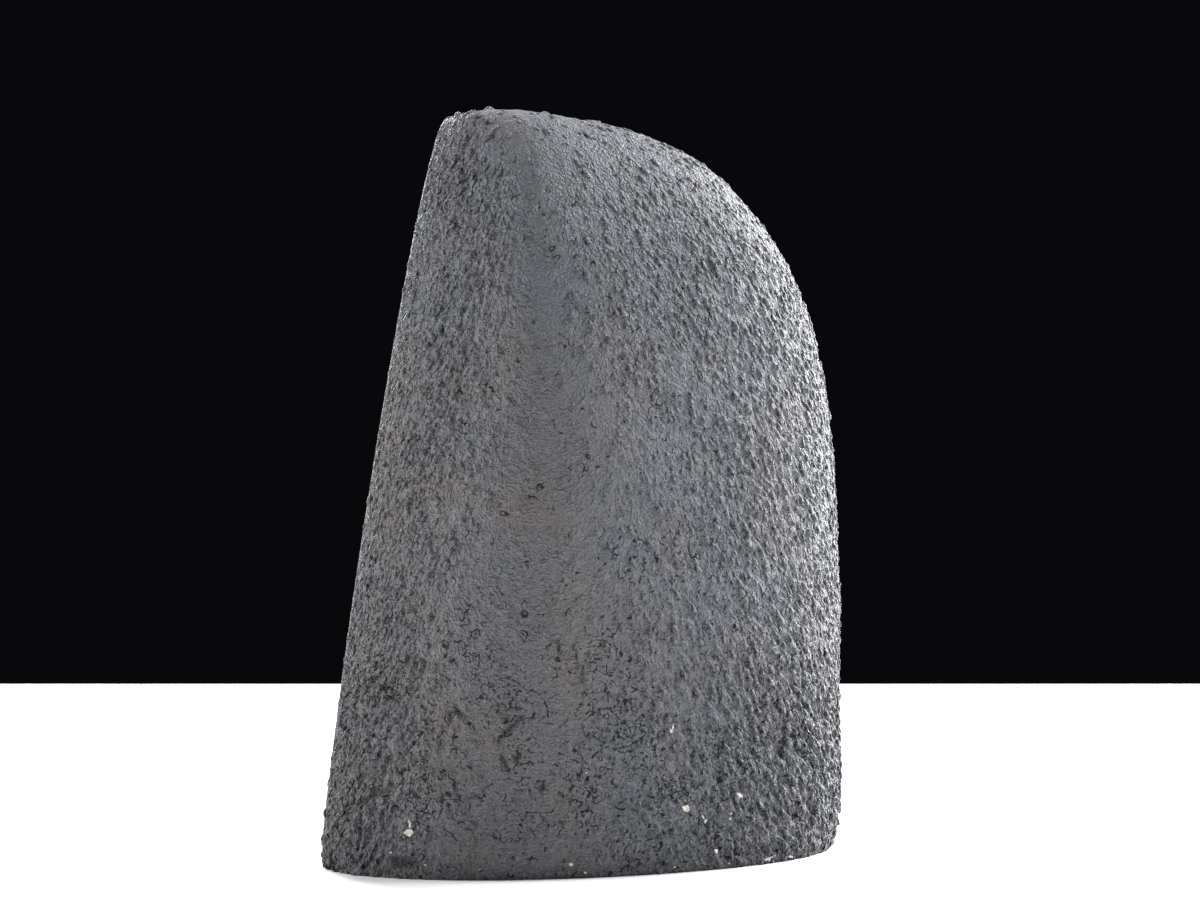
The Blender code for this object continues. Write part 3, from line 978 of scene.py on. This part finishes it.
def makePointTree(material):
    tree, start, end = newShapeTree("amethystPoints", amethyst["points"]["large"])
    add, named = partial(addNode, tree), start.outputs
    crowding = 2.5  # more points than fit, so that the spacing decides
    grown = add("GeometryNodeInputNamedAttribute", {"Name": "grown"}, data_type="FLOAT")
    points, upright = scatterPoints(tree, named, crowding, grown)

    # one point: a six-sided prism under a pyramid whose faces take turns in size
    sockets = {"Vertices": 6, "Side Segments": 2, "Radius Top": 0.0, "Radius Bottom": 0.5, "Depth": 1.0}
    cone = add("GeometryNodeMeshCone", {"Fill Segments": 1, **sockets}, fill_type="NGON")
    spot = add("ShaderNodeSeparateXYZ", {0: add("GeometryNodeInputPosition")})
    shoulder = spot.outputs["Z"]  # becomes 1 where the pyramid starts, half way up, and 0 elsewhere
    for operation, value in (("SUBTRACT", 0.5), ("ABSOLUTE", 0.0), ("LESS_THAN", 0.1)):
        shoulder = add("ShaderNodeMath", {0: shoulder, 1: value}, operation=operation)
    swing = add("ShaderNodeMath", {0: spot.outputs["Y"], 1: spot.outputs["X"]}, operation="ARCTAN2")
    for operation, value in (("MULTIPLY", 3.0), ("COSINE", 0.0), ("MULTIPLY", amethyst["pointUneven"])):
        swing = add("ShaderNodeMath", {0: swing, 1: value}, operation=operation)
    spread = add("ShaderNodeCombineXYZ", {"X": spot.outputs["X"], "Y": spot.outputs["Y"], "Z": swing})
    prism = add("GeometryNodeSetPosition", {"Geometry": cone, "Selection": shoulder, "Offset": spread})
    sunk = add("GeometryNodeSetPosition", {"Geometry": prism, "Offset": (0.0, 0.0, -amethyst["pointSunk"])})
    level = add("ShaderNodeSeparateXYZ", {0: add("GeometryNodeInputPosition")}).outputs["Z"]
    sockets = {"Geometry": sunk, "Name": "tip", "Value": level}
    marked = add("GeometryNodeStoreNamedAttribute", sockets, data_type="FLOAT", domain="POINT")
    flat = add("GeometryNodeSetShadeSmooth", {"Geometry": marked, "Shade Smooth": False})

    # each stands nearly square to the crust, turned at random, and most are small
    least = add("ShaderNodeMath", {0: named["Tilt"], 1: -1.0}, operation="MULTIPLY")
    low = add("ShaderNodeCombineXYZ", {"X": least, "Y": least, "Z": -math.pi})
    high = add("ShaderNodeCombineXYZ", {"X": named["Tilt"], "Y": named["Tilt"], "Z": math.pi})
    lean = add("FunctionNodeRandomValue", {0: low, 1: high, "Seed": named["Seed"]}, data_type="FLOAT_VECTOR")
    lean = add("FunctionNodeEulerToRotation", {0: lean})
    rotation = add("FunctionNodeRotateRotation", {0: upright, 1: lean}, rotation_space="LOCAL")
    seed = add("ShaderNodeMath", {0: named["Seed"], 1: 5.0}, operation="ADD")  # apart from the lean's
    chance = add("FunctionNodeRandomValue", {2: 0.0, 3: 1.0, "Seed": seed}, data_type="FLOAT")
    chance = add("ShaderNodeMath", {0: chance, 1: amethyst["rarity"]}, operation="POWER")
    sockets = {"Value": chance, "To Min": named["Smallest"], "To Max": amethyst["largest"]}
    size = add("ShaderNodeMapRange", sockets)
    lengths = [named[name] for name in ("Width", "Width", "Length")]
    placeShapes(tree, end, points, flat, rotation, lengths, size, material)
    return tree


def sawAtFace(mesh):
    # points that would stand out of the polished face are ground off flush with it
    points = np.zeros(len(mesh.vertices) * 3, np.float32)
    mesh.vertices.foreach_get("co", points)
    points = points.reshape(-1, 3)
    behind, uneven, quick = amethyst["flush"]
    flush = middle[1] + mm(behind) + mm(uneven) * np.sin(np.arange(len(points)) * quick)
    points[:, 1] = np.maximum(points[:, 1], flush)
    mesh.vertices.foreach_set("co", points.ravel())
    mesh.update()


def makeAgate():
    # agate sawn, then lapped and polished: glassy over cloudy bands that follow the wall
    wall = agateWall
    material, tree = newMaterial("sawnAndPolishedAgate")
    add = partial(addNode, tree)
    place = add("ShaderNodeTexCoord").outputs["Object"]
    fromHollow = add("ShaderNodeAttribute", attribute_name="fromHollow").outputs["Fac"]
    size, reach = wall["wander"]
    wander = add("ShaderNodeTexNoise", {"Vector": place, "Scale": perMm(size), "Detail": 3.0})
    shift = add("ShaderNodeMapRange", {"Value": wander, "To Min": -reach, "To Max": reach})
    depth = add("ShaderNodeMath", {0: fromHollow, 1: shift}, operation="ADD")
    whole = wall["layers"][-1][0]
    share = add("ShaderNodeMapRange", {"Value": depth, "From Max": whole})
    layers = add("ShaderNodeValToRGB", {0: share})
    stops = layers.color_ramp.elements
    while len(stops) < len(wall["layers"]):
        stops.new(0.5)
    for stop, (level, colour) in zip(stops, wall["layers"]):
        stop.position = level / whole
        stop.color = hexColour(colour)
    step, dark, light = wall["fineBands"]
    bands = add("ShaderNodeMath", {0: depth, 1: 2 * math.pi / step}, operation="MULTIPLY")
    bands = add("ShaderNodeMath", {0: bands}, operation="SINE")
    bands = add("ShaderNodeMapRange", {"Value": bands, "From Min": -1.0, "To Min": dark, "To Max": light})
    size, dark, light = wall["cloud"]
    sockets = {"Vector": place, "Scale": perMm(size), "Detail": 5.0, "Roughness": 0.65}
    cloud = add("ShaderNodeTexNoise", sockets)
    cloud = add("ShaderNodeMapRange", dict(enumerate((cloud, 0.3, 0.7, dark, light))))
    tone = add("ShaderNodeMath", {0: bands, 1: cloud}, operation="MULTIPLY")
    colour = add("ShaderNodeVectorMath", {0: layers, 3: tone}, operation="SCALE")
    look = {"Base Color": colour, "Roughness": wall["roughness"], "IOR": wall["ior"]}
    add("ShaderNodeOutputMaterial", {"Surface": add("ShaderNodeBsdfPrincipled", look)})
    return material


def makeAmethyst(name, look):
    # quartz as it grew: glassy faces that show into the stone, and the deepest violet near the tips
    material, tree = newMaterial(name)
    add = partial(addNode, tree)
    place = add("ShaderNodeTexCoord").outputs["Object"]
    deep = add("ShaderNodeTexNoise", {"Vector": place, "Scale": perMm(amethyst["zones"]), "Detail": 3.0})
    if look["clear"]:
        tip = add("ShaderNodeAttribute", attribute_name="tip").outputs["Fac"]
        deep = add("ShaderNodeMath", {0: tip, 1: deep}, operation="ADD")
    low, high = look["span"]
    share = add("ShaderNodeMapRange", {"Value": deep, "From Min": low, "From Max": high})
    pale, dark = hexColour(look["pale"]), hexColour(look["deep"])
    tint = add("ShaderNodeMix", {0: share, 6: pale, 7: dark}, data_type="RGBA")
    glass = {"Roughness": look["roughness"], "IOR": amethyst["ior"], "Transmission Weight": look["clear"]}
    shader = add("ShaderNodeBsdfPrincipled", {"Base Color": tint, **glass})
    output = add("ShaderNodeOutputMaterial", {"Surface": shader})
    if look["clear"]:
        violet = {"Color": hexColour(amethyst["absorbed"]), "Density": amethyst["density"]}
        tree.links.new(add("ShaderNodeVolumeAbsorption", violet).outputs[0], output.inputs["Volume"])
    return material


agateWallPiece.data.materials.append(makeAgate())
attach(agateWallPiece, "root")
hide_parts("agate_wall")

bedPiece = newObject("amethystBed", buildAmethystBed())
bedPiece.data.materials.append(makeAmethyst("amethystCrust", amethyst["crust"]))
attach(bedPiece, "root")
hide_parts("amethyst_lining")
pointTree = makePointTree(makeAmethyst("clearAmethyst", amethyst["crystal"]))
for size, values in amethyst["points"].items():
    mesh = runShapeTree(bedPiece, pointTree, values, size + "AmethystPoints")
    sawAtFace(mesh)
    crystals = newObject(size + "AmethystPoints", mesh)
    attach(crystals, "root")
    print(size, "amethyst points:", len(mesh.polygons), "faces")
print("amethyst crust:", len(bedPiece.data.polygons), "faces")


# table, lights and world; sizes in metres
studio = {
    "tableAhead": 0.684, "tableBehind": 1.5, "tableHalfWidth": 1.3, "tableThick": 0.03,
    "tableColour": "fcfcfc", "tableRoughness": 0.5, "dark": "09090b", "aim": (0.0, 0.0, 0.1),
    "lights": {
        # name: (right, towards the camera, up) in metres, width, height, watts
        "overhead": ((0.0, -0.15, 1.0), 1.2, 1.2, 2.8),
        "rightBox": ((0.9, -0.1, 0.35), 0.6, 0.8, 2.5),
        "rightBack": ((0.7, -0.75, 0.35), 0.5, 0.7, 25.0),
        "rightTop": ((0.8, -0.25, 0.95), 0.6, 0.6, 21.5),
        "leftBox": ((-0.93, 0.0, 0.35), 0.6, 0.8, 9.2),
        "leftBack": ((-0.42, -0.95, 0.55), 0.3, 0.6, 15.0),
        "leftTop": ((-0.7, 0.1, 0.9), 0.5, 0.5, 1.4),
        "frontFill": ((0.1, 1.3, 0.7), 1.0, 0.8, 5.0),
    },
}


def studioPlace(right, near, up):
    return Vector(viewRight * right - viewAhead * near) + Vector((0, 0, up))


def makeTable():
    near, far, wide = studio["tableBehind"], -studio["tableAhead"], studio["tableHalfWidth"]
    ends = ((-wide, near), (wide, near), (wide, far), (-wide, far))
    corners = [studioPlace(*end, height) for height in (-studio["tableThick"], 0) for end in ends]
    faces = [(0, 1, 2, 3), (4, 7, 6, 5), (0, 4, 5, 1), (1, 5, 6, 2), (2, 6, 7, 3), (3, 7, 4, 0)]
    mesh = meshFrom("tabletop", corners, faces)
    # melamine laminate, pressed smooth: an even white with a soft sheen
    material = bpy.data.materials.new("whiteLaminate")
    material.use_nodes = True
    shader = material.node_tree.nodes["Principled BSDF"]
    shader.inputs["Base Color"].default_value = hexColour(studio["tableColour"])
    shader.inputs["Roughness"].default_value = studio["tableRoughness"]
    mesh.materials.append(material)
    table = newObject("tabletop", mesh)


def makeLights():
    for name, (place, width, height, watts) in studio["lights"].items():
        data = bpy.data.lights.new(name, "AREA")
        data.shape = "RECTANGLE"
        data.size, data.size_y = width, height
        data.energy = watts
        light = newObject(name, data)
        light.location = studioPlace(*place)
        aim = Vector(studio["aim"]) - light.location
        light.rotation_euler = aim.to_track_quat("-Z", "Y").to_euler()


makeTable()
makeLights()
world = bpy.data.worlds.new("darkStudio")
world.use_nodes = True
world.node_tree.nodes["Background"].inputs["Color"].default_value = hexColour(studio["dark"])
bpy.context.scene.world = world
bpy.context.scene.view_settings.view_transform = "Standard"
print("studio:", len(studio["lights"]), "lights")
